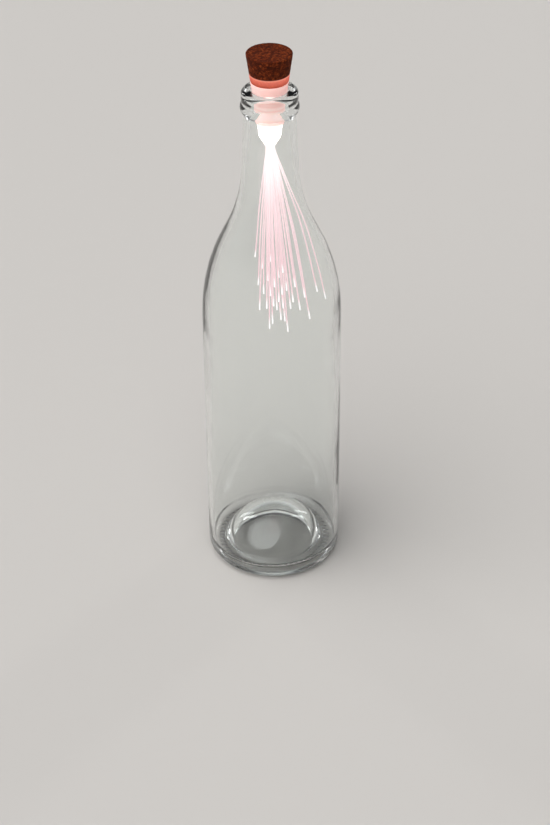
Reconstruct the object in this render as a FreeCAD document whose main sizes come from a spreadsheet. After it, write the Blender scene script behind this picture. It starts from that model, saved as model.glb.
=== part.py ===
import FreeCAD, Part
import Sketcher
import math
import os

# Cork bottle light: a clear glass bottle that stands on its base ring, with a cork-shaped light in its
# mouth. The light has a cork head, a ribbed plug that seats in the bore, three button cells, a small lamp
# and a spray of optical filaments that hangs down inside the shoulder.
# Z is up, the bottle stands on Z = 0, and its axis is the Z axis. Lengths are millimetres.

os.makedirs("parts", exist_ok=True)
doc = FreeCAD.newDocument("cork_bottle_light")

# Sizes
sizes = {
    # glass bottle, outside
    "body_dia": 75.5,
    "body_height": 159.3,  # from the table up to where the shoulder starts
    "shoulder_bend": 108.0,
    "neck_flare": 85.8,
    "neck_root_dia": 30.0,
    "neck_taper": 2.8,  # degrees, each side
    "neck_length": 32.6,
    "finish_height": 13.0,  # the thickened ring at the mouth
    "ring_dia": 29.5,
    "ring_band": 6.0,
    "ring_groove": 0.35,
    "lip_bend": 2.4,
    "bead_bend": 4.4,
    "heel_bend": 6.5,
    "bearing_width": 4.2,
    # glass bottle, inside and underneath
    "glass_wall": 3.0,
    "bore_dia": 18.0,
    "bore_depth": 17.0,
    "bore_draft": 2.0,  # degrees
    "mouth_bevel": 1.0,
    "foot_bend": 4.0,  # where the punt runs out into the bearing ring
    "punt_height": 20.8,
    "floor_wall": 5.0,
    "trough_bend": 4.5,
    # ribbed plug
    "plug_gap": 0.12,  # beside the bore, all round
    "plug_taper": 10.3,  # degrees, each side
    "plug_proud": 4.7,
    "plug_length": 17.0,  # below the lip
    "plug_wall": 0.7,
    "rib_pitch": 2.2,
    "rib_depth": 0.3,
    "spigot_wall": 0.8,
    "spigot_height": 4.6,
    # cork head
    "cork_height": 15.5,
    "cork_top_dia": 23.9,
    "cork_edge": 0.6,
    "seat_gap": 0.1,  # between the cork and the rim of the plug
    "spigot_gap": 0.15,
    "glue_gap": 0.05,
    # button cells
    "cell_dia": 11.6,
    "cell_height": 5.4,
    "cell_cap_dia": 9.4,
    "cell_cap_height": 0.7,
    "cell_gap": 0.15,
    # battery tube and its contacts
    "tube_wall": 0.6,
    "tube_floor": 1.0,
    "tube_fit": 0.05,
    "tube_short": 0.4,  # how far the top cell stands out of the tube
    "leaf_thick": 0.2,
    "leaf_rise": 0.6,
    "leaf_width": 3.0,
    "rivet_dia": 1.4,
    "strip_thick": 0.25,
    "strip_width": 2.0,
    "strip_foot": 2.2,
    "strip_lip": 0.5,
    "lug_rise": 0.45,
    "lug_height": 2.0,
    "lug_angle": 20.0,
    # switch cap
    "turn_gap": 0.08,
    "sleeve_wall": 0.9,
    "sleeve_start": 0.3,  # above the rim of the plug
    "roof_wall": 0.8,
    "roof_gap": 0.55,
    "relief_gap": 0.2,
    "switch_angle": 90.0,
    "relief_slack": 2.5,  # degrees at each end
    "drive_rise": 0.3,
    "drive_width": 0.9,
    "counter_gap": 0.1,
    "plate_thick": 0.3,
    "plate_gap": 0.1,
    "plate_tab": 1.8,
    # cork liner
    "push_gap": 0.05,
    "liner_wall": 0.6,
    # circuit board
    "board_height": 8.6,
    "board_thick": 0.8,
    "board_gap": 0.3,
    "board_side_gap": 0.45,
    "chip_length": 2.9,
    "chip_width": 1.6,
    "chip_height": 1.1,
    "resistor_length": 2.0,
    "resistor_width": 1.2,
    "resistor_height": 0.5,
    # lamp
    "lamp_dia": 5.0,
    "lamp_flange_dia": 5.8,
    "lamp_flange": 1.0,
    "lamp_length": 8.6,
    "lead_side": 0.5,
    "lead_pitch": 2.54,
    "lead_length": 3.4,
    # light cup and holder
    "cup_height": 8.0,
    "cup_cone": 4.0,
    "cup_wall": 1.0,
    "cup_spigot": 1.8,
    "cup_fit": 0.1,
    "nose_wall": 0.35,
    "holder_height": 4.6,
    "holder_grip": 2.2,
    "holder_fit": 0.05,
    # filaments and their sleeve
    "strand_dia": 0.75,
    "strand_pitch": 0.78,
    "strand_fit": 0.05,
    "strand_reach": 117.0,  # the longest drop below the sleeve
    "lamp_air": 0.4,
    "strand_lead": 8.4,  # down to the point where they lean out
    "neck_clear": 1.0,  # between the widest filament and the inside of the neck
    "sleeve_length": 5.0,
    "sleeve_tube_wall": 0.6,
}

sheet = doc.addObject("Spreadsheet::Sheet", "Size")
for row, (alias, size) in enumerate(sizes.items(), 1):
    sheet.set("A%d" % row, alias)
    sheet.set("B%d" % row, str(size))
    sheet.setAlias("B%d" % row, alias)
doc.recompute()

# Levels and radii worked out from the sizes
# The bottle is measured from the table. The pieces of the light are measured from the lip, upwards.
levels = doc.addObject("App::VarSet", "At")


def derive(name, formula):
    levels.addProperty("App::PropertyFloat", name)
    levels.setExpression(name, formula)


derive("body_r", "Size.body_dia / 2")
derive("flare_r", "Size.neck_root_dia / 2 + Size.neck_flare * cos(Size.neck_taper * 1 deg)")
derive("shoulder_r", "body_r - Size.shoulder_bend")
derive("bends", "Size.shoulder_bend + Size.neck_flare")
derive("flare_z", "Size.body_height + sqrt(bends ^ 2 - (flare_r - shoulder_r) ^ 2)")
derive("neck_z", "flare_z - Size.neck_flare * sin(Size.neck_taper * 1 deg)")
derive("neck_top_z", "neck_z + Size.neck_length")
derive("neck_top_r", "Size.neck_root_dia / 2 - Size.neck_length * tan(Size.neck_taper * 1 deg)")
derive("lip_z", "neck_top_z + Size.finish_height")
# the shoulder and the flare meet on the line between their centres
derive("join_r", "shoulder_r + (flare_r - shoulder_r) * Size.shoulder_bend / bends")
derive("join_z", "Size.body_height + (flare_z - Size.body_height) * Size.shoulder_bend / bends")
derive("inner_share", "(Size.shoulder_bend - Size.glass_wall) / bends")
derive("inner_join_r", "shoulder_r + (flare_r - shoulder_r) * inner_share")
derive("inner_join_z", "Size.body_height + (flare_z - Size.body_height) * inner_share")
derive("inner_flare", "Size.neck_flare + Size.glass_wall")
derive("inner_neck_r", "flare_r - inner_flare * cos(Size.neck_taper * 1 deg)")
derive("inner_neck_z", "flare_z - inner_flare * sin(Size.neck_taper * 1 deg)")
derive("inner_body_r", "body_r - Size.glass_wall")
# the punt is a dome on the axis, rounded into the bearing ring
derive("bearing_r", "body_r - Size.heel_bend")
derive("foot_r", "bearing_r - Size.bearing_width")
derive(
    "punt_bend",
    "(foot_r ^ 2 + Size.punt_height ^ 2) / (2 * Size.punt_height) - Size.foot_bend",
)
derive("punt_z", "Size.punt_height - punt_bend")
derive("foot_join_r", "foot_r * punt_bend / (punt_bend + Size.foot_bend)")
derive("foot_join_z", "punt_z + (Size.foot_bend - punt_z) * punt_bend / (punt_bend + Size.foot_bend)")
derive("floor_bend", "punt_bend + Size.floor_wall")
derive("trough_r", "inner_body_r - Size.trough_bend")
derive("trough_z", "punt_z + sqrt((floor_bend + Size.trough_bend) ^ 2 - trough_r ^ 2)")
derive("trough_join_r", "trough_r * floor_bend / (floor_bend + Size.trough_bend)")
derive("trough_join_z", "punt_z + (trough_z - punt_z) * floor_bend / (floor_bend + Size.trough_bend)")
# radii of the plug, from the bore that it seats in
derive("bore_r", "Size.bore_dia / 2")
derive("bore_end_r", "bore_r + (Size.bore_depth - Size.mouth_bevel) * tan(Size.bore_draft * 1 deg)")
derive("throat_r", "bore_r - Size.plug_gap")
derive("rim_r", "throat_r + (Size.plug_proud + Size.mouth_bevel) * tan(Size.plug_taper * 1 deg)")
derive("plug_end_r", "throat_r - (Size.plug_length - Size.mouth_bevel) * tan(Size.plug_taper * 1 deg)")
derive("pocket_r", "plug_end_r - Size.plug_wall")
# battery stack, from the open end of the plug upwards
derive("ledge_z", "Size.cup_spigot - Size.plug_length + Size.board_height + 2 * Size.board_gap")
derive("cells_z", "ledge_z + Size.tube_floor + Size.leaf_rise")
derive("stack_z", "cells_z + 3 * Size.cell_height")
derive("tube_top_z", "stack_z - Size.tube_short")
derive("tube_r", "Size.cell_dia / 2 + Size.cell_gap")
derive("tube_out_r", "tube_r + Size.tube_wall")
derive("well_r", "tube_out_r + Size.tube_fit")
derive("sleeve_r", "tube_out_r + Size.turn_gap")
derive("sleeve_out_r", "sleeve_r + Size.sleeve_wall")
derive("counter_r", "sleeve_out_r + Size.counter_gap")
derive("spigot_r", "counter_r + Size.spigot_wall")
derive("skirt_r", "spigot_r + Size.spigot_gap")
derive("sleeve_z", "Size.plug_proud + Size.sleeve_start")
derive("roof_z", "stack_z + Size.roof_gap")
derive("roof_top_z", "roof_z + Size.roof_wall")
derive("spigot_z", "Size.plug_proud + Size.spigot_height")
derive("liner_r", "sleeve_out_r + Size.push_gap")
derive("liner_out_r", "liner_r + Size.liner_wall")
derive("liner_z", "spigot_z + Size.spigot_gap")
derive("liner_top_z", "roof_top_z + Size.push_gap + Size.liner_wall")
derive("cork_top_z", "Size.plug_proud + Size.cork_height")
# the contact strip lies flat against the round tube
derive("strip_r", "sqrt(tube_out_r ^ 2 - (Size.strip_width / 2) ^ 2)")
# lamp, cup and filaments, from the open end of the plug downwards
derive("cup_r", "plug_end_r")
derive("cup_in_r", "cup_r - Size.cup_wall")
derive("cup_end_z", "0 - Size.plug_length - Size.cup_height - Size.cup_cone")
derive("lamp_z", "0 - Size.plug_length + Size.lamp_flange - Size.board_gap / 2")
derive("bundle_z", "lamp_z - Size.lamp_length - Size.lamp_air")
derive("bundle_r", "sqrt(7) * Size.strand_pitch + Size.strand_dia / 2 + Size.strand_fit")
derive("ferrule_r", "bundle_r + Size.sleeve_tube_wall")
derive("nose_r", "ferrule_r + Size.tube_fit")
derive("pocket_end_z", "cup_end_z + Size.cup_cone - Size.cup_wall")
doc.recompute()


def number(text):
    return float(sheet.evalExpression(text))


# Helpers
def make_body(name):
    body = doc.addObject("PartDesign::Body", name)
    body.Label = name
    return body


def make_sketch(body, role, tag):
    plane = [item for item in body.Origin.OriginFeatures if item.Role == role][0]
    sketch = body.newObject("Sketcher::SketchObject", body.Name + "_" + tag)
    sketch.AttachmentSupport = (plane, "")
    sketch.MapMode = "FlatFace"
    return sketch


def arc_between(start, end, radius, turn):
    # the centre lies beside the chord, on the side that the arc turns to
    across = end - start
    half = across.Length / 2
    rise = math.sqrt(max(radius * radius - half * half, 0))
    side = FreeCAD.Vector(-across.y, across.x, 0).normalize() * rise * turn
    centre = start + across * 0.5 + side
    first, last = (start, end) if turn > 0 else (end, start)
    angles = [math.atan2(p.y - centre.y, p.x - centre.x) for p in (first, last)]
    if angles[1] < angles[0]:
        angles[1] += 2 * math.pi
    circle = Part.Circle(centre, FreeCAD.Vector(0, 0, 1), radius)
    return Part.ArcOfCircle(circle, angles[0], angles[1])


def draw(sketch, steps):
    # Each step is the corner that a line or an arc leads to: (x, y) or (x, y, radius, turn), in formulas of
    # the sizes. A turn of 1 bends to the left and -1 to the right. The last corner leads back to the first.
    corners = [FreeCAD.Vector(number(step[0]), number(step[1]), 0) for step in steps]
    curves = []
    ends = []
    for index, step in enumerate(steps):
        start = corners[index - 1]
        end = corners[index]
        if len(step) == 2:
            curves.append(Part.LineSegment(start, end))
            ends.append((1, 2))
        else:
            curves.append(arc_between(start, end, number(step[2]), step[3]))
            ends.append((1, 2) if step[3] > 0 else (2, 1))
    first = sketch.GeometryCount
    sketch.addGeometry(curves, False)
    rules = []
    bound = []
    count = len(steps)
    for index, step in enumerate(steps):
        after = (index + 1) % count
        this_end = (first + index, ends[index][1])
        rules.append(Sketcher.Constraint("Coincident", *this_end, first + after, ends[after][0]))
        for kind, axis, text, place in (
            ("DistanceX", -2, step[0], corners[index].x),
            ("DistanceY", -1, step[1], corners[index].y),
        ):
            if text == "0":
                rules.append(Sketcher.Constraint("PointOnObject", *this_end, axis))
            else:
                bound.append((len(rules), text))
                rules.append(Sketcher.Constraint(kind, *this_end, place))
        if len(step) == 4:
            bound.append((len(rules), step[2]))
            rules.append(Sketcher.Constraint("Radius", first + index, number(step[2])))
    offset = sketch.ConstraintCount
    sketch.addConstraint(rules)
    for index, text in bound:
        sketch.setExpression("Constraints[%d]" % (offset + index), text)


def revolve(body, steps, tag="turned", angle=None, cut=False):
    # turns an outline of (radius, height) corners about the Z axis
    sketch = make_sketch(body, "XZ_Plane", tag + "_outline")
    draw(sketch, steps)
    kind = "PartDesign::Groove" if cut else "PartDesign::Revolution"
    turned = body.newObject(kind, body.Name + "_" + tag)
    turned.Profile = sketch
    turned.ReferenceAxis = (sketch, ["V_Axis"])
    turned.Angle = 360
    if angle:
        turned.Midplane = True
        turned.setExpression("Angle", angle)
    doc.recompute()
    return turned


def pad(body, role, steps, length, tag="pad", midplane=False, cut=False, reverse=False):
    # pushes a flat outline out by a length
    sketch = make_sketch(body, role, tag + "_outline")
    draw(sketch, steps)
    kind = "PartDesign::Pocket" if cut else "PartDesign::Pad"
    block = body.newObject(kind, body.Name + "_" + tag)
    block.Profile = sketch
    block.setExpression("Length", length)
    block.Midplane = midplane
    block.Reversed = reverse
    doc.recompute()
    return block


def lift(piece, height="At.lip_z"):
    piece.setExpression(".Placement.Base.z", height)


def rectangle(x0, y0, x1, y1):
    return [(x0, y0), (x1, y0), (x1, y1), (x0, y1)]


# Glass bottle
# One revolved profile: up the outside from the bearing ring, over the lip and down the inside to the
# domed floor, then back along the punt underneath.
bottle = make_body("glass_bottle")
bead_r = "Size.ring_dia / 2 - Size.ring_groove"
revolve(
    bottle,
    [
        ("At.foot_join_r", "At.foot_join_z", "At.punt_bend", -1),
        ("At.foot_r", "0"),
        ("At.bearing_r", "0"),
        ("At.body_r", "Size.heel_bend", "Size.heel_bend", 1),
        ("At.body_r", "Size.body_height"),
        ("At.join_r", "At.join_z", "Size.shoulder_bend", 1),
        ("Size.neck_root_dia / 2", "At.neck_z", "Size.neck_flare", -1),
        ("At.neck_top_r", "At.neck_top_z"),
        (bead_r, "At.lip_z - Size.ring_band - 2 * Size.ring_groove", "Size.bead_bend", 1),
        ("Size.ring_dia / 2", "At.lip_z - Size.ring_band"),
        ("Size.ring_dia / 2", "At.lip_z - Size.lip_bend"),
        ("Size.ring_dia / 2 - Size.lip_bend", "At.lip_z", "Size.lip_bend", 1),
        ("At.bore_r + Size.mouth_bevel", "At.lip_z"),
        ("At.bore_r", "At.lip_z - Size.mouth_bevel"),
        ("At.bore_end_r", "At.lip_z - Size.bore_depth"),
        ("At.inner_neck_r", "At.inner_neck_z"),
        ("At.inner_join_r", "At.inner_join_z", "At.inner_flare", 1),
        ("At.inner_body_r", "Size.body_height", "Size.shoulder_bend - Size.glass_wall", -1),
        ("At.inner_body_r", "At.trough_z"),
        ("At.trough_join_r", "At.trough_join_z"),
        ("0", "At.punt_z + At.floor_bend", "At.floor_bend", 1),
        ("0", "Size.punt_height"),
    ],
)

# Ribbed plug
# A soft tapered cone whose ribs grip the bore, with a spigot on top for the cork and a well for the
# battery tube.
plug = make_body("plug_shell")


def cone_r(depth):
    # radius of the cone at a depth below the lip
    return "At.throat_r - (%s - Size.mouth_bevel) * tan(Size.plug_taper * 1 deg)" % depth


rib_count = int((number("Size.plug_length - Size.rib_pitch / 2")) / number("Size.rib_pitch"))
ribs = []
for rib in range(rib_count, 0, -1):
    # each rib slopes gently in and steps back out, so that it lets the plug in and holds it
    low = "%d * Size.rib_pitch" % rib
    ribs.append((cone_r(low), "0 - %s" % low))
    ribs.append((cone_r(low) + " - Size.rib_depth", "0 - %s + Size.rib_depth" % low))
revolve(
    plug,
    [("At.plug_end_r", "0 - Size.plug_length")]
    + ribs
    + [
        (cone_r("Size.rib_pitch / 2"), "0 - Size.rib_pitch / 2"),
        ("At.rim_r", "Size.plug_proud"),
        ("At.spigot_r", "Size.plug_proud"),
        ("At.spigot_r", "At.spigot_z"),
        ("At.counter_r", "At.spigot_z"),
        ("At.counter_r", "Size.plug_proud"),
        ("At.well_r", "Size.plug_proud"),
        ("At.well_r", "At.ledge_z"),
        ("At.pocket_r", "At.ledge_z"),
        ("At.pocket_r", "0 - Size.plug_length"),
    ],
)
lift(plug)

# Battery tube
tube = make_body("battery_tube")
rivet_r = "Size.rivet_dia / 2 + Size.tube_fit"
revolve(
    tube,
    [
        (rivet_r, "At.ledge_z"),
        ("At.tube_out_r", "At.ledge_z"),
        ("At.tube_out_r", "At.tube_top_z"),
        ("At.tube_r", "At.tube_top_z"),
        ("At.tube_r", "At.ledge_z + Size.tube_floor"),
        (rivet_r, "At.ledge_z + Size.tube_floor"),
    ],
)
# a lug that stops the switch cap at both ends of its turn
revolve(
    tube,
    rectangle(
        "At.tube_out_r - Size.tube_wall / 2",
        "At.sleeve_z + Size.sleeve_wall",
        "At.tube_out_r + Size.lug_rise",
        "At.sleeve_z + Size.sleeve_wall + Size.lug_height",
    ),
    tag="lug",
    angle="Size.lug_angle",
)
# a channel down the far side and under the floor for the contact strip
channel_r = "0 - At.strip_r + Size.strip_thick + Size.tube_fit"
tail_r = "0 - At.strip_r + Size.strip_foot"
pad(
    tube,
    "XZ_Plane",
    [
        ("0 - At.tube_out_r - Size.tube_wall", "At.ledge_z - Size.tube_wall"),
        (tail_r + " + Size.tube_fit", "At.ledge_z - Size.tube_wall"),
        (tail_r + " + Size.tube_fit", "At.ledge_z + Size.strip_thick + Size.tube_fit"),
        (channel_r, "At.ledge_z + Size.strip_thick + Size.tube_fit"),
        (channel_r, "At.tube_top_z + Size.tube_wall"),
        ("0 - At.tube_out_r - Size.tube_wall", "At.tube_top_z + Size.tube_wall"),
    ],
    "Size.strip_width + 2 * Size.tube_fit",
    tag="channel",
    midplane=True,
    cut=True,
)
lift(tube)

# Button cells
# Each is a steel can with the smaller negative cap underneath.
for index in range(3):
    cell = make_body("button_cell_%d" % (index + 1))
    revolve(
        cell,
        [
            ("0", "0"),
            ("Size.cell_cap_dia / 2", "0"),
            ("Size.cell_cap_dia / 2", "Size.cell_cap_height"),
            ("Size.cell_dia / 2", "Size.cell_cap_height"),
            ("Size.cell_dia / 2", "Size.cell_height"),
            ("0", "Size.cell_height"),
        ],
    )
    lift(cell, "At.lip_z + At.cells_z + %d * Size.cell_height" % index)

# Contacts
# The leaf under the cells: a foot on the floor of the tube, a tongue sprung up to the cell, and a rivet.
leaf = make_body("cell_contact")
leaf_z = "At.ledge_z + Size.tube_floor"
pad(
    leaf,
    "XZ_Plane",
    [
        ("0 - At.tube_r / 2", leaf_z),
        ("At.tube_r / 2", leaf_z),
        ("At.tube_r / 2", leaf_z + " + Size.leaf_thick"),
        ("0 - At.tube_r / 4", leaf_z + " + Size.leaf_thick"),
        ("At.tube_r / 2", leaf_z + " + Size.leaf_rise - Size.leaf_thick"),
        ("At.tube_r / 2", leaf_z + " + Size.leaf_rise"),
        ("At.tube_r / 4", leaf_z + " + Size.leaf_rise"),
        ("0 - At.tube_r / 2", leaf_z + " + Size.leaf_thick"),
    ],
    "Size.leaf_width",
    tag="leaf",
    midplane=True,
)
revolve(
    leaf,
    rectangle(
        "0",
        "At.ledge_z - Size.board_gap + Size.tube_fit",
        "Size.rivet_dia / 2",
        leaf_z + " + Size.leaf_thick / 2",
    ),
    tag="rivet",
)
lift(leaf)

# The strip up the side of the tube: a tail on the board, a straight run and a lip over the rim.
strip = make_body("contact_strip")
strip_in = "0 - At.strip_r + Size.strip_thick"
pad(
    strip,
    "XZ_Plane",
    [
        ("0 - At.strip_r", "At.ledge_z"),
        (tail_r + " - Size.strip_thick", "At.ledge_z"),
        (tail_r + " - Size.strip_thick", "At.ledge_z - Size.board_gap + Size.tube_fit"),
        (tail_r, "At.ledge_z - Size.board_gap + Size.tube_fit"),
        (tail_r, "At.ledge_z + Size.strip_thick"),
        (strip_in, "At.ledge_z + Size.strip_thick"),
        (strip_in, "At.tube_top_z"),
        ("0 - At.strip_r + Size.strip_lip", "At.tube_top_z"),
        ("0 - At.strip_r + Size.strip_lip", "At.tube_top_z + Size.strip_thick"),
        ("0 - At.strip_r", "At.tube_top_z + Size.strip_thick"),
    ],
    "Size.strip_width",
    tag="strip",
    midplane=True,
)
lift(strip)

# Circuit board, lamp and leads
board = make_body("circuit_board")
board_half = "At.pocket_r - Size.board_side_gap"
board_face = "Size.lead_side / 2"
board_z = "Size.cup_spigot - Size.plug_length + Size.board_gap"
pad(
    board,
    "XZ_Plane",
    rectangle("0 - (" + board_half + ")", board_z, board_half, board_z + " + Size.board_height"),
    "Size.board_thick",
    tag="plate",
)
board.setExpression(".Placement.Base.y", "Size.board_thick + " + board_face)
lift(board)


def chip(name, length, width, height, middle):
    # a small moulded block soldered flat on the face of the board
    body = make_body(name)
    pad(
        body,
        "XZ_Plane",
        rectangle(
            "0 - %s / 2" % length,
            "%s - %s / 2" % (middle, width),
            "%s / 2" % length,
            "%s + %s / 2" % (middle, width),
        ),
        height,
        tag="block",
    )
    body.setExpression(".Placement.Base.y", board_face)
    lift(body)


board_middle = board_z + " + Size.board_height / 2"
chip_middle = board_middle + " + Size.chip_width"
chip("driver_chip", "Size.chip_length", "Size.chip_width", "Size.chip_height", chip_middle)
chip("resistor", "Size.resistor_length", "Size.resistor_width", "Size.resistor_height", board_middle)

# The lamp hangs dome down, so that it shines into the ends of the filaments.
lamp = make_body("led_lamp")
dome_z = "At.lamp_z - Size.lamp_length + Size.lamp_dia / 2"
revolve(
    lamp,
    [
        ("0", "At.lamp_z - Size.lamp_length"),
        ("Size.lamp_dia / 2", dome_z, "Size.lamp_dia / 2", 1),
        ("Size.lamp_dia / 2", "At.lamp_z - Size.lamp_flange"),
        ("Size.lamp_flange_dia / 2", "At.lamp_z - Size.lamp_flange"),
        ("Size.lamp_flange_dia / 2", "At.lamp_z"),
        ("0", "At.lamp_z"),
    ],
)
lift(lamp)
for name, side in (("led_anode", 1), ("led_cathode", -1)):
    lead = doc.addObject("Part::Box", name)
    lead.Label = name
    lead.setExpression("Length", "Size.lead_side")
    lead.setExpression("Width", "Size.lead_side")
    lead.setExpression("Height", "Size.lead_length")
    lead.setExpression(".Placement.Base.x", "%d * Size.lead_pitch / 2 - Size.lead_side / 2" % side)
    lead.setExpression(".Placement.Base.y", "0 - Size.lead_side / 2")
    lift(lead, "At.lip_z + At.lamp_z")

# Lamp holder and light cup
holder = make_body("lamp_holder")
holder_z = "At.lamp_z - Size.lamp_flange - Size.holder_fit"
holder_in = "Size.lamp_dia / 2 + Size.holder_fit"
holder_out = "At.cup_in_r - Size.holder_fit"
revolve(
    holder,
    [
        (holder_in, holder_z),
        (holder_in, holder_z + " - Size.holder_grip"),
        (holder_out + " - Size.nose_wall", holder_z + " - Size.holder_height"),
        (holder_out, holder_z + " - Size.holder_height"),
        (holder_out, holder_z),
    ],
)
lift(holder)

cup = make_body("light_cup")
revolve(
    cup,
    [
        ("At.nose_r", "At.cup_end_z"),
        ("At.nose_r + Size.nose_wall", "At.cup_end_z"),
        ("At.cup_r", "At.cup_end_z + Size.cup_cone"),
        ("At.cup_r", "0 - Size.plug_length"),
        ("At.pocket_r - Size.cup_fit", "0 - Size.plug_length"),
        ("At.pocket_r - Size.cup_fit", "0 - Size.plug_length + Size.cup_spigot"),
        ("At.cup_in_r", "0 - Size.plug_length + Size.cup_spigot - Size.cup_fit"),
        ("At.cup_in_r", "At.pocket_end_z + Size.cup_wall"),
        ("At.nose_r", "At.pocket_end_z"),
    ],
)
lift(cup)

ferrule = make_body("bundle_sleeve")
revolve(
    ferrule,
    rectangle("At.bundle_r", "At.bundle_z - Size.sleeve_length", "At.ferrule_r", "At.bundle_z"),
)
lift(ferrule)

# Switch cap and contact plate
switch = make_body("switch_cap")
revolve(
    switch,
    [
        ("At.sleeve_r", "At.sleeve_z"),
        ("At.sleeve_out_r", "At.sleeve_z"),
        ("At.sleeve_out_r", "At.roof_top_z"),
        ("0", "At.roof_top_z"),
        ("0", "At.roof_z"),
        ("At.sleeve_r", "At.roof_z"),
    ],
)
# the relief that the lug of the tube runs in: at rest the lug is at one end of it
relief = revolve(
    switch,
    rectangle(
        "At.sleeve_r - Size.turn_gap",
        "At.sleeve_z - Size.sleeve_wall",
        "At.tube_out_r + Size.lug_rise + Size.relief_gap",
        "At.sleeve_z + Size.sleeve_wall + Size.lug_height + Size.relief_gap",
    ),
    tag="relief",
    angle="Size.switch_angle + Size.lug_angle + 2 * Size.relief_slack",
    cut=True,
)
# low ribs round the cap drive it from the liner in the cork
drive_count = 6
drive = pad(
    switch,
    "XY_Plane",
    rectangle(
        "At.sleeve_out_r - Size.drive_rise",
        "0 - Size.drive_width / 2",
        "At.sleeve_out_r + Size.drive_rise",
        "Size.drive_width / 2",
    ),
    "At.roof_top_z - At.liner_z",
    tag="drive",
)
drive.Profile[0].setExpression(".AttachmentOffset.Base.z", "At.liner_z")
ring = switch.newObject("PartDesign::PolarPattern", "switch_cap_drives")
ring.Originals = [drive]
ring.Axis = (drive.Profile[0], ["N_Axis"])
ring.Occurrences = drive_count
switch.Tip = ring


def turn_back(piece):
    # at rest the lug lies at one end of the relief, and the cap and the cork turn one way from there
    upright = FreeCAD.Vector(0, 0, 1)
    piece.Placement = FreeCAD.Placement(
        FreeCAD.Vector(0, 0, 0), FreeCAD.Rotation(upright, -number("Size.switch_angle") / 2)
    )


turn_back(switch)
lift(switch)

plate = make_body("contact_plate")
plate_r = "At.tube_out_r - Size.tube_fit"
revolve(
    plate,
    [
        ("0", "At.stack_z + Size.plate_gap"),
        ("Size.rivet_dia / 2", "At.stack_z + Size.plate_gap"),
        ("Size.rivet_dia", "At.roof_z - Size.plate_thick"),
        (plate_r, "At.roof_z - Size.plate_thick"),
        (plate_r, "At.roof_z"),
        ("0", "At.roof_z"),
    ],
)
# the tab that meets the lip of the strip while the light is on
pad(
    plate,
    "XZ_Plane",
    rectangle(
        "0 - (" + plate_r + ") + Size.plate_gap",
        "At.tube_top_z + Size.strip_thick + Size.plate_gap",
        "0 - At.strip_r + Size.strip_lip",
        "At.roof_z - Size.plate_thick / 2",
    ),
    "Size.plate_tab",
    tag="tab",
    midplane=True,
)
lift(plate)

# Cork liner and cork
liner = make_body("cork_liner")
liner_roof = "At.roof_top_z + Size.push_gap"
revolve(
    liner,
    [
        ("At.liner_r", "At.liner_z"),
        ("At.liner_out_r", "At.liner_z"),
        ("At.liner_out_r", "At.liner_top_z"),
        ("0", "At.liner_top_z"),
        ("0", liner_roof),
        ("At.liner_r", liner_roof),
    ],
)
groove = pad(
    liner,
    "XY_Plane",
    rectangle(
        "At.liner_r - Size.liner_wall",
        "0 - Size.drive_width / 2 - Size.push_gap",
        "At.sleeve_out_r + Size.drive_rise + Size.push_gap",
        "Size.drive_width / 2 + Size.push_gap",
    ),
    liner_roof + " - At.liner_z",
    tag="groove",
    cut=True,
    reverse=True,
)
groove.Profile[0].setExpression(".AttachmentOffset.Base.z", "At.liner_z")
grooves = liner.newObject("PartDesign::PolarPattern", "cork_liner_grooves")
grooves.Originals = [groove]
grooves.Axis = (groove.Profile[0], ["N_Axis"])
grooves.Occurrences = drive_count
liner.Tip = grooves
turn_back(liner)
lift(liner)

cork = make_body("cork_cap")
revolve(
    cork,
    [
        ("At.skirt_r", "Size.plug_proud + Size.seat_gap"),
        ("At.rim_r", "Size.plug_proud + Size.seat_gap"),
        ("Size.cork_top_dia / 2", "At.cork_top_z - Size.cork_edge"),
        ("Size.cork_top_dia / 2 - Size.cork_edge", "At.cork_top_z"),
        ("0", "At.cork_top_z"),
        ("0", "At.liner_top_z + Size.glue_gap"),
        ("At.liner_out_r + Size.glue_gap", "At.liner_top_z + Size.glue_gap"),
        ("At.liner_out_r + Size.glue_gap", "At.liner_z"),
        ("At.skirt_r", "At.liner_z"),
    ],
)
lift(cork)

# Optical filaments
# 31 filaments lie six-sided about a middle one in the sleeve. Each leaves it straight down, leans out and
# then droops a little. The table gives where each tip ends beside the axis, as shares of the radius that
# they spread over, and how far down, as a share of the longest reach. It follows the places in the sleeve,
# from left to right. The last one is the widest.
lattice = sorted(
    (across + row / 2, row)
    for row in range(-3, 4)
    for across in range(-3, 4)
    if across**2 + across * row + row**2 <= 7
)
tip_shares = [
    (-0.247, -0.104, 0.54),
    (-0.201, 0.122, 0.73),
    (-0.167, -0.229, 0.80),
    (-0.132, 0.001, 0.62),
    (-0.098, 0.241, 0.80),
    (-0.069, -0.080, 0.82),
    (-0.046, 0.081, 0.70),
    (-0.037, -0.235, 0.90),
    (-0.003, -0.031, 0.76),
    (0.006, 0.210, 0.62),
    (0.023, -0.354, 0.85),
    (0.046, -0.110, 0.80),
    (0.063, 0.117, 0.74),
    (0.083, 0.306, 0.90),
    (0.112, -0.202, 0.76),
    (0.132, 0.006, 0.67),
    (0.153, 0.181, 0.93),
    (0.178, -0.317, 0.70),
    (0.196, -0.124, 0.62),
    (0.201, 0.101, 0.85),
    (0.227, 0.307, 0.96),
    (0.247, -0.201, 0.70),
    (0.268, -0.004, 0.96),
    (0.294, 0.191, 0.87),
    (0.325, -0.104, 0.78),
    (0.363, 0.127, 0.74),
    (0.435, -0.228, 0.80),
    (0.504, -0.019, 0.77),
    (0.622, 0.207, 0.93),
    (0.705, -0.077, 0.73),
    (0.860, 0.140, 0.81),
]
elbow_out_share = 0.50  # how far out and how far down the droop starts
elbow_down_share = 0.42
bend_share = 0.45  # of the shorter run beside a bend, left for the bend
strand_sides = 6

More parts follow.
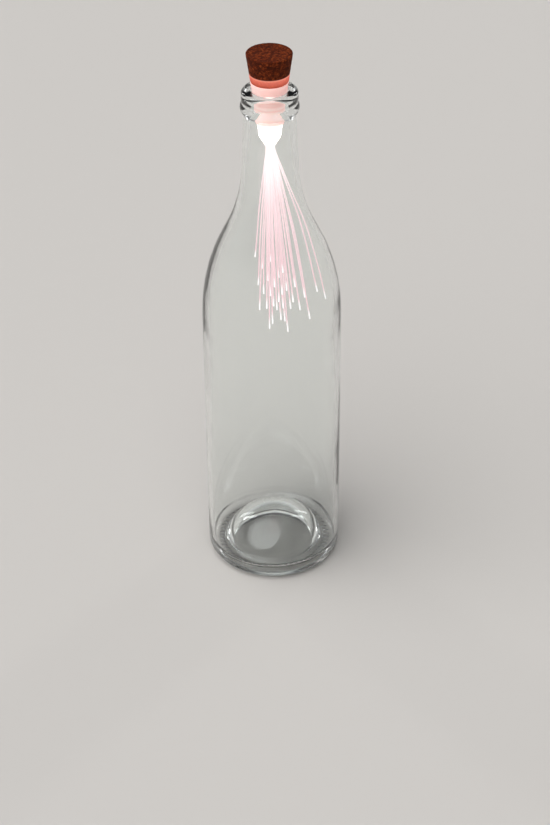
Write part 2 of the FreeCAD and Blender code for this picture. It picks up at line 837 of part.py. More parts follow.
# The filaments spread over the radius inside the body, or over less where the neck would stop the widest
# one at its elbow.
widest = math.hypot(tip_shares[-1][0], tip_shares[-1][1])
elbow_depth = "%r * Size.strand_reach" % (elbow_down_share * tip_shares[-1][2])
derive("elbow_z", "lip_z + bundle_z - Size.strand_lead - " + elbow_depth)
derive("flare_room", "flare_r - sqrt(inner_flare ^ 2 - min(elbow_z - flare_z; 0) ^ 2)")
shoulder_rise = "max(elbow_z - Size.body_height; 0)"
derive(
    "shoulder_room",
    "shoulder_r + sqrt(abs((Size.shoulder_bend - Size.glass_wall) ^ 2 - %s ^ 2))" % shoulder_rise,
)
derive("elbow_room", "elbow_z > inner_join_z ? flare_room : shoulder_room")
derive(
    "elbow_r",
    "elbow_room - Size.neck_clear - Size.strand_dia / 2 - %r * bundle_r" % (1 - elbow_out_share),
)
derive("spread_r", "min(inner_body_r; elbow_r / %r)" % (widest * elbow_out_share))


def derive_strand(tag, across, row, tip):
    # the run of one filament in its own upright plane, from its place in the sleeve to its tip
    side = "(%r * At.spread_r - %r * Size.strand_pitch)"
    out_x = side % (tip[0], across)
    out_y = side % (tip[1], row * math.sqrt(3) / 2)
    derive(tag + "out", "sqrt(%s ^ 2 + %s ^ 2)" % (out_x.replace("At.", ""), out_y.replace("At.", "")))
    derive(tag + "down", "%r * Size.strand_reach" % tip[2])
    derive(tag + "o1", "%r * %sout" % (elbow_out_share, tag))
    derive(tag + "d1", "%r * %sdown" % (elbow_down_share, tag))
    derive(tag + "leg1", "sqrt(%so1 ^ 2 + %sd1 ^ 2)" % (tag, tag))
    derive(tag + "leg2", "sqrt((%sout - %so1) ^ 2 + (%sdown - %sd1) ^ 2)" % (tag, tag, tag, tag))
    derive(tag + "bend1", "min(Size.strand_lead - Size.sleeve_length; %r * %sleg1)" % (bend_share, tag))
    derive(tag + "bend2", "%r * min(%sleg1; %sleg2)" % (bend_share, tag, tag))
    derive(tag + "run", "%sleg1 - %sbend1 - %sbend2" % (tag, tag, tag))
    lean = "atan(%so1 / %sd1)" % (tag, tag)
    droop = "(%s - atan((%sout - %so1) / (%sdown - %sd1)))" % (lean, tag, tag, tag, tag)
    derive(tag + "radius1", "%sbend1 / tan(%s / 2)" % (tag, lean))
    derive(tag + "radius2", "%sbend2 / tan(%s / 2)" % (tag, droop))
    return out_x, out_y


def draw_strand_path(sketch, tag):
    # x is outwards and y is up, from the upper end: straight, bend, straight, bend, straight
    out, down, o1, d1 = [number("At." + tag + item) for item in ("out", "down", "o1", "d1")]
    bend1, bend2 = [number("At." + tag + item) for item in ("bend1", "bend2")]
    radius1, radius2 = [number("At." + tag + item) for item in ("radius1", "radius2")]
    top = FreeCAD.Vector(0, 0, 0)
    leave = FreeCAD.Vector(0, -number("Size.strand_lead"), 0)
    elbow = leave + FreeCAD.Vector(o1, -d1, 0)
    tip = leave + FreeCAD.Vector(out, -down, 0)
    fall = FreeCAD.Vector(0, -1, 0)
    lean = (elbow - leave).normalize()
    droop = (tip - elbow).normalize()
    leaning = [leave - fall * bend1, leave + lean * bend1]
    drooping = [elbow - lean * bend2, elbow + droop * bend2]
    points = [top] + leaning + drooping + [tip]
    sketch.addGeometry(
        [
            Part.LineSegment(points[0], points[1]),
            arc_between(points[1], points[2], radius1, 1),
            Part.LineSegment(points[2], points[3]),
            arc_between(points[3], points[4], radius2, -1),
            Part.LineSegment(points[4], points[5]),
        ],
        False,
    )
    sketch.addConstraint(
        [
            Sketcher.Constraint("Coincident", 0, 1, -1, 1),
            Sketcher.Constraint("Vertical", 0),
            Sketcher.Constraint("Tangent", 0, 2, 1, 1),
            Sketcher.Constraint("Tangent", 1, 2, 2, 1),
            Sketcher.Constraint("Tangent", 2, 2, 3, 2),
            Sketcher.Constraint("Tangent", 3, 1, 4, 1),
        ]
    )
    for rule, text in (
        (Sketcher.Constraint("DistanceY", 0, 2, points[1].y), "At.%sbend1 - Size.strand_lead" % tag),
        (
            Sketcher.Constraint("DistanceX", 2, 1, 2, 2, points[3].x - points[2].x),
            "At.%srun * At.%so1 / At.%sleg1" % (tag, tag, tag),
        ),
        (
            Sketcher.Constraint("DistanceY", 2, 2, 2, 1, points[2].y - points[3].y),
            "At.%srun * At.%sd1 / At.%sleg1" % (tag, tag, tag),
        ),
        (Sketcher.Constraint("Radius", 1, radius1), "At.%sradius1" % tag),
        (Sketcher.Constraint("Radius", 3, radius2), "At.%sradius2" % tag),
        (Sketcher.Constraint("DistanceX", 4, 2, points[5].x), "At.%sout" % tag),
    ):
        index = sketch.addConstraint(rule)
        sketch.setExpression("Constraints[%d]" % index, text)


strands = []
for index, ((across, row), tip_share) in enumerate(zip(lattice, tip_shares), 1):
    tag = "s%02d_" % index
    out_x, out_y = derive_strand(tag, across, row, tip_share)
    strands.append((tag, across, row, out_x, out_y))
doc.recompute()
for index, (tag, across, row, out_x, out_y) in enumerate(strands, 1):
    strand = make_body("filament_%02d" % index)
    section = make_sketch(strand, "XY_Plane", "section")
    turns = [2 * math.pi * side / strand_sides for side in range(strand_sides)]
    corner = "%.6f * Size.strand_dia / 2"
    draw(section, [(corner % math.cos(turn), corner % math.sin(turn)) for turn in turns])
    path = make_sketch(strand, "XZ_Plane", "path")
    draw_strand_path(path, tag)
    pipe = strand.newObject("PartDesign::AdditivePipe", strand.Name + "_pipe")
    pipe.Profile = section
    pipe.Spine = (path, [])
    heading = math.degrees(math.atan2(number(out_y), number(out_x)))
    strand.Placement = FreeCAD.Placement(
        FreeCAD.Vector(0, 0, 0), FreeCAD.Rotation(FreeCAD.Vector(0, 0, 1), heading)
    )
    strand.setExpression(".Placement.Base.x", "%r * Size.strand_pitch" % across)
    strand.setExpression(".Placement.Base.y", "%r * Size.strand_pitch" % (row * math.sqrt(3) / 2))
    lift(strand, "At.lip_z + At.bundle_z")

# Checks and export
doc.recompute()
for item in doc.Objects:
    if "Invalid" in item.State or "Error" in item.State:
        raise RuntimeError("%s did not rebuild: %s" % (item.Name, item.State))
for cutter, base in ((relief, "switch_cap_turned"), (groove, "cork_liner_turned")):
    if cutter.Shape.Volume >= doc.getObject(base).Shape.Volume:
        raise RuntimeError("%s cuts nothing" % cutter.Name)
kinds = ("PartDesign::Body", "Part::Box")
pieces = [item for item in doc.Objects if item.TypeId in kinds]
for piece in pieces:
    shape = piece.Shape
    if shape.isNull() or not shape.isValid() or len(shape.Solids) != 1:
        raise RuntimeError("%s is not one sound solid" % piece.Label)
for piece in pieces:
    piece.Shape.exportStep("parts/%s.step" % piece.Label)
box = bottle.Shape.optimalBoundingBox()
print("pieces:", len(pieces))
print("lip height: %.2f  bottle width: %.2f" % (number("At.lip_z"), box.XLength))
print("cork top: %.2f" % (number("At.lip_z + At.cork_top_z")))
bends = [number("At.%sradius1" % tag) for tag, *rest in strands]
print("filament bends: %.1f to %.1f" % (min(bends), max(bends)))
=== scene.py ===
import math

import bmesh
import bpy
import numpy as np
from mathutils import Euler, Matrix, Vector


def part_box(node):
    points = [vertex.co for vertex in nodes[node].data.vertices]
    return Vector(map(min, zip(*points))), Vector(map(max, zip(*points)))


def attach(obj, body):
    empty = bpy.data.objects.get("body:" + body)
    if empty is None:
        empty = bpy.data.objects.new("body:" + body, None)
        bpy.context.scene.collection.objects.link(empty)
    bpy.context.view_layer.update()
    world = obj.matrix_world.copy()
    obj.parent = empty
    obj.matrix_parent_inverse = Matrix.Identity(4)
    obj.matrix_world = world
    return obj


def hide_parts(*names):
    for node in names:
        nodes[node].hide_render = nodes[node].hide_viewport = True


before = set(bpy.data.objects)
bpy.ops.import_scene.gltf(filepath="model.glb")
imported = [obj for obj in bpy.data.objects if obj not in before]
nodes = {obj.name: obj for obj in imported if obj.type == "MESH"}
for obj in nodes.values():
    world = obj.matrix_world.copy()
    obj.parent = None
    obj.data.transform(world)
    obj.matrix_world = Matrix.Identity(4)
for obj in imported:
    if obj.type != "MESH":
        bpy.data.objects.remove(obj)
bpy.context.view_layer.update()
mm = 0.001
random = np.random.default_rng(31)
print("frame loaded:", len(nodes), "nodes")


# Small tools

def linear(hexText):
    # an sRGB hex colour as linear red, green, blue and alpha
    parts = [int(hexText[i:i + 2], 16) / 255 for i in (1, 3, 5)]
    return [p / 12.92 if p <= 0.04045 else ((p + 0.055) / 1.055) ** 2.4 for p in parts] + [1.0]


def addNode(tree, kind, inputs=None, stops=None, **settings):
    # adds one node, gives it its settings and colour stops, and sets or links its inputs
    node = tree.nodes.new("ShaderNode" + kind)
    for key, value in settings.items():
        setattr(node, key, value)
    if stops:
        ends = node.color_ramp.elements
        ends[0].position, ends[1].position = stops[0][0], stops[-1][0]
        ends[0].color, ends[1].color = linear(stops[0][1]), linear(stops[-1][1])
        for spot, colour in stops[1:-1]:
            ends.new(spot).color = linear(colour)
    for key, value in (inputs or {}).items():
        if isinstance(value, bpy.types.NodeSocket):
            tree.links.new(value, node.inputs[key])
        else:
            node.inputs[key].default_value = value
    return node


def newMaterial(name):
    material = bpy.data.materials.new(name)
    material.use_nodes = True
    tree = material.node_tree
    tree.nodes.clear()
    output = tree.nodes.new("ShaderNodeOutputMaterial")
    shader = addNode(tree, "BsdfPrincipled")
    tree.links.new(shader.outputs[0], output.inputs["Surface"])
    return material, tree, shader


def setInputs(shader, **values):
    for key, value in values.items():
        shader.inputs[key.replace("_", " ")].default_value = value


def arcBetween(start, end, radius, turn, stepDegrees):
    # Points on a circle arc, without its first point. The centre lies beside the chord's middle, on the left for
    # turn 1 and on the right for turn -1, at the root of radius squared less half the chord squared.
    start, end = np.array(start, float), np.array(end, float)
    across = end - start
    half = np.hypot(*across) / 2
    side = np.array([-across[1], across[0]]) / (2 * half)
    centre = (start + end) / 2 + side * turn * math.sqrt(max(radius * radius - half * half, 0))
    first = math.atan2(*(start - centre)[::-1])
    sweep = 2 * math.asin(min(half / radius, 1)) * turn
    count = max(2, math.ceil(abs(math.degrees(sweep)) / stepDegrees))
    angles = first + sweep * np.arange(1, count + 1) / count
    return centre + radius * np.stack([np.cos(angles), np.sin(angles)], 1)


def outline(corners, stepDegrees, longest):
    # Joins corners by lines (r, z) or (r, z, longest) and arcs (r, z, radius, turn). A line is cut into runs no longer
    # than its longest, and an arc into steps no wider than stepDegrees.
    points = [np.array(corners[0][:2], float)]
    for corner in corners[1:]:
        if len(corner) == 4:
            points.extend(arcBetween(points[-1], corner[:2], corner[2], corner[3], stepDegrees))
        else:
            end = np.array(corner[:2], float)
            step = corner[2] if len(corner) == 3 else longest
            count = max(1, math.ceil(np.hypot(*(end - points[-1])) / step))
            points.extend(points[-1] + (end - points[-1]) * np.arange(1, count + 1)[:, None] / count)
    return np.array(points)


def turned(profile, turns):
    # Each profile point (radius, height) is carried round the Z axis: x = r cos a, y = r sin a, z = height.
    angles = np.linspace(0, 2 * math.pi, turns, endpoint=False)
    radius, height = profile[:, :1], profile[:, 1:]
    return np.stack([radius * np.cos(angles), radius * np.sin(angles), height + 0 * angles], -1)


def skin(name, grid, poles=(None, None), closedRows=False):
    # A mesh of quads over a grid of points (rows, columns, 3) in millimetres. The columns close into a ring. A pole is
    # the point into which the first or last row is drawn together.
    rows, columns = grid.shape[:2]
    points = grid.reshape(-1, 3)
    index = np.arange(rows * columns).reshape(rows, columns)
    if closedRows:
        index = np.vstack([index, index[:1]])
    quads = np.stack([index[:-1], np.roll(index[:-1], -1, 1), np.roll(index[1:], -1, 1), index[1:]], -1).reshape(-1, 4)
    faces = quads.tolist()
    for pole, row, way in ((poles[0], index[0], -1), (poles[1], index[-1], 1)):
        if pole is None:
            continue
        points = np.vstack([points, [[*pole]]])
        tip = len(points) - 1
        faces += np.stack([row, np.roll(row, -1), np.full(columns, tip)], 1)[:, ::way].tolist()
    return addPiece(name, points, faces)


def addPiece(name, points, faces):
    mesh = bpy.data.meshes.new(name)
    mesh.from_pydata((points * mm).tolist(), [], faces)
    shell = bmesh.new()
    shell.from_mesh(mesh)
    bmesh.ops.recalc_face_normals(shell, faces=shell.faces)
    shell.to_mesh(mesh)
    shell.free()
    mesh.polygons.foreach_set("use_smooth", np.ones(len(mesh.polygons), bool))
    mesh.update()
    piece = bpy.data.objects.new(name, mesh)
    bpy.context.scene.collection.objects.link(piece)
    return piece


def settle(piece, body, slot, material, *replaced):
    # gives a finished piece its material and its body, and hides the nodes that it stands for
    piece.data.materials.append(material)
    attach(piece, body)
    if replaced:
        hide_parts(*replaced)
    return piece


def ease(value, low, high):
    # 0 below low, 1 above high, and a smooth rise between them
    share = np.clip((value - low) / (high - low), 0, 1)
    return share * share * (3 - 2 * share)


# Glass bottle

glass = dict(
    bodyHeight=159.3, shoulderBend=108.0, neckFlare=85.8, neckRoot=30.0, neckTaper=2.8, neckLength=32.6,
    finishHeight=13.0, ringBand=6.0, ringGroove=0.35, ringDiameter=29.5, lipBend=2.4, beadBend=4.4, heelBend=6.5,
    bearingWidth=4.2, wall=3.0, boreDiameter=18.0, boreDepth=17.0, boreDraft=2.0, mouthBend=1.0, footBend=4.0,
    puntHeight=20.8, floorWall=5.0, troughBend=4.5,
    # grooves of the knurl: their middle and fade are shares of their length, their edge a range of the cosine round
    knurls=60, knurlDepth=1.5, knurlLength=5.2, turnsPerKnurl=7,
    knurlMiddle=0.62, knurlFade=(0.36, 0.5), knurlEdge=(-0.15, 0.5), knurlTop=2.5,
    # how much the blown inside wanders from true round, and how far under the lip that fades in; each wave has its
    # share, its count round the bottle, its length along it and its phase
    wallWave=0.22, waveFade=(20, 60), waves=((1.0, 2, 31, 0), (0.6, 3, -17, 1.3), (0.5, 1, 43, 0)),
    # steps of the mesh, in degrees of an arc and in millimetres of a line, and the radius of the ring round each pole
    arcStep=6, lineStep=4.0, bearingStep=0.4, bodyStep=9.0, innerStep=7.0, poleRing=0.6,
)


def bottleOutline():
    # Radius and height, from the middle of the punt over the foot and up the outside, then down the bore and over the
    # floor. Two arcs that meet share a tangent, so they join on the line between their centres.
    g = glass
    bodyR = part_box("glass_bottle")[1].x / mm
    taper = math.radians(g["neckTaper"])
    rootR = g["neckRoot"] / 2
    flareR = rootR + g["neckFlare"] * math.cos(taper)
    shoulderR = bodyR - g["shoulderBend"]
    bends = g["shoulderBend"] + g["neckFlare"]
    flareZ = g["bodyHeight"] + math.sqrt(bends ** 2 - (flareR - shoulderR) ** 2)
    neckZ = flareZ - g["neckFlare"] * math.sin(taper)
    neckTopZ = neckZ + g["neckLength"]
    neckTopR = rootR - g["neckLength"] * math.tan(taper)
    lipZ = neckTopZ + g["finishHeight"]

    def join(bend):
        # where the shoulder and the flare meet
        share = bend / bends
        return shoulderR + (flareR - shoulderR) * share, g["bodyHeight"] + (flareZ - g["bodyHeight"]) * share

    ringR = g["ringDiameter"] / 2
    boreR = g["boreDiameter"] / 2
    boreEndR = boreR + (g["boreDepth"] - g["mouthBend"]) * math.tan(math.radians(g["boreDraft"]))
    innerFlare = g["neckFlare"] + g["wall"]
    bearingR = bodyR - g["heelBend"]
    footR = bearingR - g["bearingWidth"]
    puntBend = (footR ** 2 + g["puntHeight"] ** 2) / (2 * g["puntHeight"]) - g["footBend"]
    puntZ = g["puntHeight"] - puntBend
    footShare = puntBend / (puntBend + g["footBend"])
    floorBend = puntBend + g["floorWall"]
    innerR = bodyR - g["wall"]
    troughR = innerR - g["troughBend"]
    troughZ = puntZ + math.sqrt((floorBend + g["troughBend"]) ** 2 - troughR ** 2)
    troughShare = floorBend / (floorBend + g["troughBend"])
    small = g["poleRing"]
    corners = [
        (small, puntZ + math.sqrt(puntBend ** 2 - small ** 2)),
        (footR * footShare, puntZ + (g["footBend"] - puntZ) * footShare, puntBend, -1),
        (footR, 0, g["footBend"], 1),
        (bearingR, 0, g["bearingStep"]),
        (bodyR, g["heelBend"], g["heelBend"], 1),
        (bodyR, g["bodyHeight"], g["bodyStep"]),
        (*join(g["shoulderBend"]), g["shoulderBend"], 1),
        (rootR, neckZ, g["neckFlare"], -1),
        (neckTopR, neckTopZ),
        (ringR - g["ringGroove"], lipZ - g["ringBand"] - 2 * g["ringGroove"], g["beadBend"], 1),
        (ringR, lipZ - g["ringBand"]),
        (ringR, lipZ - g["lipBend"]),
        (ringR - g["lipBend"], lipZ, g["lipBend"], 1),
        (boreR + g["mouthBend"], lipZ),
        (boreR, lipZ - g["mouthBend"], g["mouthBend"], 1),
        (boreEndR, lipZ - g["boreDepth"]),
        (flareR - innerFlare * math.cos(taper), flareZ - innerFlare * math.sin(taper)),
        (*join(g["shoulderBend"] - g["wall"]), innerFlare, 1),
        (innerR, g["bodyHeight"], g["shoulderBend"] - g["wall"], -1),
        (innerR, troughZ, g["innerStep"]),
        (troughR * troughShare, puntZ + (troughZ - puntZ) * troughShare, g["troughBend"], -1),
        (small, puntZ + math.sqrt(floorBend ** 2 - small ** 2), floorBend, 1),
    ]
    poles = ((0, 0, puntZ + puntBend), (0, 0, puntZ + floorBend))
    return outline(corners, g["arcStep"], g["lineStep"]), poles, footR, lipZ


def buildBottle():
    # The outline is turned, then moved by two fields: the knurl, short radial grooves pressed up into the inner side of
    # the bearing ring, and the wander of the blown inside, a sum of slow waves round and along the bottle.
    g = glass
    profile, poles, footR, lipZ = bottleOutline()
    grid = turned(profile, g["knurls"] * g["turnsPerKnurl"])
    radius, height = np.hypot(grid[..., 0], grid[..., 1]), grid[..., 2]
    angle = np.arctan2(grid[..., 1], grid[..., 0])
    away = abs(radius - footR - g["knurlLength"] * g["knurlMiddle"]) / g["knurlLength"]
    window = (1 - ease(away, *g["knurlFade"])) * (height < g["knurlTop"])
    grid[..., 2] += g["knurlDepth"] * ease(np.cos(angle * g["knurls"]), *g["knurlEdge"]) * window
    row = np.arange(len(profile))[:, None]
    inside = (row > np.argmax(profile[:, 1])) * ease(lipZ - height, *g["waveFade"])
    waves = sum(part * np.sin(count * angle + height / length + phase) for part, count, length, phase in g["waves"])
    wander = waves * g["wallWave"] * inside
    grid[..., :2] *= (1 + wander / np.maximum(radius, 1))[..., None]
    return skin("glassBottle", grid, poles)


def sodaLimeGlassMoulded():
    # Clear soda-lime glass, blown in a mould and fire polished: a hard bright skin with long shallow waves, so that
    # reflections and what lies behind bend a little.
    material, tree, shader = newMaterial("sodaLimeGlassMoulded")
    setInputs(shader, Base_Color=linear("#FCFEFD"), Roughness=0.0, IOR=1.52, Transmission_Weight=1.0)
    place = addNode(tree, "TexCoord")
    wave = addNode(tree, "TexNoise", {"Vector": place.outputs["Object"], "Scale": 1 / (22 * mm), "Detail": 1.0})
    bump = addNode(tree, "Bump", {"Height": wave.outputs[0], "Strength": 0.25, "Distance": 0.6 * mm})
    tree.links.new(bump.outputs[0], shader.inputs["Normal"])
    return material


settle(buildBottle(), "bottle", "bottle_glass", sodaLimeGlassMoulded(), "glass_bottle")
print("bottle done")


# Cork

cork = dict(
    turns=260, arcStep=20, lineStep=0.28, poleRing=0.4,
    edge=0.6, footBend=0.5, footIn=0.02, footUp=0.45,  # the rounds at the top and at the foot
    gap=0.05, spigotRoom=0.35,  # room round the liner and the plug's spigot
    grain=1.05,  # size of the pressed granules
    seam=0.07, seamWidth=(0.05, 0.32), unevenness=0.05,  # joints between granules, and how much a granule stands out
    pits=60, pitSize=0.42, pitSpread=(0.4, 1.3), pitDepth=0.28, pitEdge=(0.3, 1.0), pitsOnTop=0.3, pitsFrom=2,
    skinRadius=(9.2, 11.2), skinDepth=0.6, sideRadius=9.9,  # the side's radius at the foot and top, less a margin
    skinTop=0.2, skinFoot=0.3, topBand=0.02, seamShade=0.6,
    glowBand=4.7, glowEdge=0.4,  # height of the lit foot, and how softly it ends
)


def corkOutline():
    # outer side, top, and the hollow that the liner is glued into, as the CAD node has them
    low, high = (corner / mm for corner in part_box("cork_cap"))
    linerLow, linerHigh = (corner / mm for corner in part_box("cork_liner"))
    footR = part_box("plug_shell")[1].x / mm
    gap, edge = cork["gap"], cork["edge"]
    spigotR = linerHigh.x + cork["spigotRoom"]
    corners = [
        (cork["poleRing"], linerHigh.z + gap),
        (linerHigh.x + gap, linerHigh.z + gap),
        (linerHigh.x + gap, linerLow.z),
        (spigotR, linerLow.z),
        (spigotR, low.z),
        (footR - cork["footBend"], low.z),
        (footR - cork["footIn"], low.z + cork["footUp"], cork["footBend"], 1),
        (high.x, high.z - edge),
        (high.x - edge, high.z, edge * 1.05, 1),
        (cork["poleRing"], high.z),
    ]
    return outline(corners, cork["arcStep"], cork["lineStep"]), low, high


def nearestTwo(points, seeds, batch=4000):
    # distance from each point to its nearest and second nearest seed, and which seed is nearest
    first = np.empty(len(points))
    second = np.empty(len(points))
    which = np.empty(len(points), int)
    for start in range(0, len(points), batch):
        block = points[start:start + batch]
        away = ((block ** 2).sum(1)[:, None] + (seeds ** 2).sum(1) - 2 * block @ seeds.T).clip(0)
        pair = np.argpartition(away, 1, axis=1)[:, :2]
        near = np.take_along_axis(away, pair, 1)
        order = near.argmin(1)
        rows = np.arange(len(block))
        which[start:start + batch] = pair[rows, order]
        first[start:start + batch] = np.sqrt(near[rows, order])
        second[start:start + batch] = np.sqrt(near[rows, 1 - order])
    return first, second, which


def buildCork():
    # The outline is turned, then pressed inwards, on the top downwards: a shallow joint wherever two granules are
    # equally near, and round pits with soft edges at seeded places.
    c = cork
    profile, low, high = corkOutline()
    grid = turned(profile, c["turns"])
    points = grid.reshape(-1, 3)
    tall = points[:, 2].copy()
    ends = [low.z, high.z]
    span = np.array([high.x, high.x, (high.z - low.z) / 2])
    centre = np.array([0, 0, (high.z + low.z) / 2])
    count = int((2 * span).prod() / c["grain"] ** 3)
    seeds = centre + random.uniform(-1, 1, (count, 3)) * (span + c["grain"])
    first, second, which = nearestTwo(points, seeds)
    joint = 1 - ease(second - first, *c["seamWidth"])
    level = random.uniform(-0.5, 0.5, count)[which]
    radius = np.hypot(points[:, 0], points[:, 1])
    outer = ease(radius - np.interp(tall, ends, c["skinRadius"]), -c["skinDepth"], 0) + (tall > high.z - c["skinTop"])
    outer = np.clip(outer, 0, 1) * (tall > low.z + c["skinFoot"])
    turn = random.uniform(0, 2 * math.pi, c["pits"])
    onTop = random.random(c["pits"]) < c["pitsOnTop"]
    reach = np.where(onTop, high.x * np.sqrt(random.random(c["pits"])), high.x)
    pitHeight = np.where(onTop, high.z, random.uniform(low.z + c["pitsFrom"], high.z, c["pits"]))
    size = c["pitSize"] * random.uniform(*c["pitSpread"], c["pits"])
    reach *= np.interp(pitHeight, ends, [c["sideRadius"], high.x]) / high.x
    pits = np.stack([reach * np.cos(turn), reach * np.sin(turn), pitHeight], 1)
    away = np.linalg.norm(points[:, None] - pits, axis=2) / size
    pit = (1 - ease(away, *c["pitEdge"])).max(1)
    depth = (c["seam"] * joint + c["unevenness"] * (0.5 - level) + c["pitDepth"] * pit) * outer
    onSide = tall <= high.z - c["topBand"]
    points[:, :2] *= (1 - onSide * depth / np.maximum(radius, 1))[:, None]
    points[:, 2] -= ~onSide * depth
    piece = skin("corkHead", grid, ((0, 0, profile[0, 1]), (0, 0, profile[-1, 1])))
    for name, field in (("granule", level + 0.5), ("hollow", np.clip(joint * c["seamShade"] + pit, 0, 1) * outer)):
        shade = piece.data.attributes.new(name, "FLOAT", "POINT")
        shade.data.foreach_set("value", np.append(field, [0, 0]).astype(np.float32))
    return piece, low, high


def agglomeratedCorkPressed(low, high):
    # Ground cork pressed and glued, then turned and sanded: dull warm brown granules of uneven shade with darker joints
    # and pits, and a foot that glows orange where the lamp shines up into it.
    material, tree, shader = newMaterial("agglomeratedCorkPressed")
    setInputs(shader, Roughness=0.9, Specular_IOR_Level=0.12)
    place = addNode(tree, "TexCoord").outputs["Object"]
    granule = addNode(tree, "Attribute", attribute_name="granule")
    hollow = addNode(tree, "Attribute", attribute_name="hollow")
    fine = addNode(tree, "TexNoise", {"Vector": place, "Scale": 1 / (0.5 * mm), "Detail": 3.0, "Roughness": 0.7})
    blend = addNode(tree, "Math", {0: granule.outputs["Fac"], 1: fine.outputs[0]}, operation="ADD")
    half = addNode(tree, "Math", {0: blend.outputs[0], 1: 0.5}, operation="MULTIPLY")
    stops = ((0.24, "#471907"), (0.42, "#61240B"), (0.58, "#742E0F"), (0.8, "#8D411B"))
    ramp = addNode(tree, "ValToRGB", {"Fac": half.outputs[0]}, stops)
    darker = addNode(
        tree, "Mix", {"Factor": hollow.outputs["Fac"], 6: ramp.outputs[0], 7: linear("#260D06")}, data_type="RGBA"
    )
    tree.links.new(darker.outputs[2], shader.inputs["Base Color"])
    bump = addNode(tree, "Bump", {"Height": fine.outputs[0], "Strength": 0.5, "Distance": 0.15 * mm})
    tree.links.new(bump.outputs[0], shader.inputs["Normal"])
    height = addNode(tree, "SeparateXYZ", {0: place}).outputs["Z"]
    foot, edge = low.z * mm, (low.z + cork["glowBand"] + cork["glowEdge"]) * mm
    rise = addNode(tree, "MapRange", {"Value": height, "From Min": foot, "From Max": edge})
    stops = ((0.0, "#96412F"), (0.35, "#CB6252"), (0.7, "#DC7463"), (0.87, "#F09580"), (0.94, "#000000"))
    glow = addNode(tree, "ValToRGB", {"Fac": rise.outputs[0]}, stops)
    tree.links.new(glow.outputs[0], shader.inputs["Emission Color"])
    shader.inputs["Emission Strength"].default_value = 0.95
    return material


corkPiece, corkLow, corkHigh = buildCork()
settle(corkPiece, "cork", "cork", agglomeratedCorkPressed(corkLow, corkHigh), "cork_cap")
print("cork done")


# Ribbed plug

plug = dict(
    turns=120, arcStep=12, lineStep=4.0, rowStep=0.14, proud=4.7, taper=10.3, rimBend=0.4,
    # ribs, and the depths below the lip between which they come and go
    ribPitch=2.2, ribDepth=0.3, ribSkew=0.75, ribsFrom=(0.3, 1.3), ribsTo=(15.6, 16.4),
    wellRoom=0.05, cellarStep=0.7, spigotStep=0.2, spigotWall=0.8,
)


def buildPlug():
    # The outer cone carries ribs: within each pitch the radius falls by a smooth wave, deepest just under the rib.
    c = plug
    low, high = (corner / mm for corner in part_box("plug_shell"))
    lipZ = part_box("glass_bottle")[1].z / mm
    rimR, rimZ = high.x, lipZ + c["proud"]
    slope = math.tan(math.radians(c["taper"]))
    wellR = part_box("battery_tube")[1].y / mm + c["wellRoom"]
    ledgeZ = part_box("battery_tube")[0].z / mm
    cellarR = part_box("light_cup")[1].x / mm - c["cellarStep"]
    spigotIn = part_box("switch_cap")[1].y / mm - c["spigotStep"]
    spigotOut = spigotIn + c["spigotWall"]
    heights = np.arange(low.z, rimZ - c["rimBend"], c["rowStep"])
    depth = lipZ - heights
    phase = (depth / c["ribPitch"]) % 1
    wave = 0.5 - 0.5 * np.cos(2 * math.pi * phase ** c["ribSkew"])
    ribs = c["ribDepth"] * wave * ease(depth, *c["ribsFrom"]) * (1 - ease(depth, *c["ribsTo"]))
    outer = np.stack([rimR - (rimZ - heights) * slope - ribs, heights], 1)
    corners = [
        outer[-1],
        (rimR - c["rimBend"], rimZ, c["rimBend"], 1),
        (spigotOut, rimZ),
        (spigotOut, high.z),
        (spigotIn, high.z),
        (spigotIn, rimZ),
        (wellR, rimZ),
        (wellR, ledgeZ),
        (cellarR, ledgeZ),
        (cellarR, low.z),
    ]
    profile = np.vstack([outer, outline(corners, c["arcStep"], c["lineStep"])[1:]])
    piece = skin("ribbedPlug", turned(profile, c["turns"]), closedRows=True)
    # groove depth, kept for the painted shade between the ribs
    groove = piece.data.attributes.new("groove", "FLOAT", "POINT")
    values = np.zeros(len(profile), np.float32)
    values[:len(ribs)] = ribs / c["ribDepth"]
    groove.data.foreach_set("value", np.repeat(values, c["turns"]))
    return piece


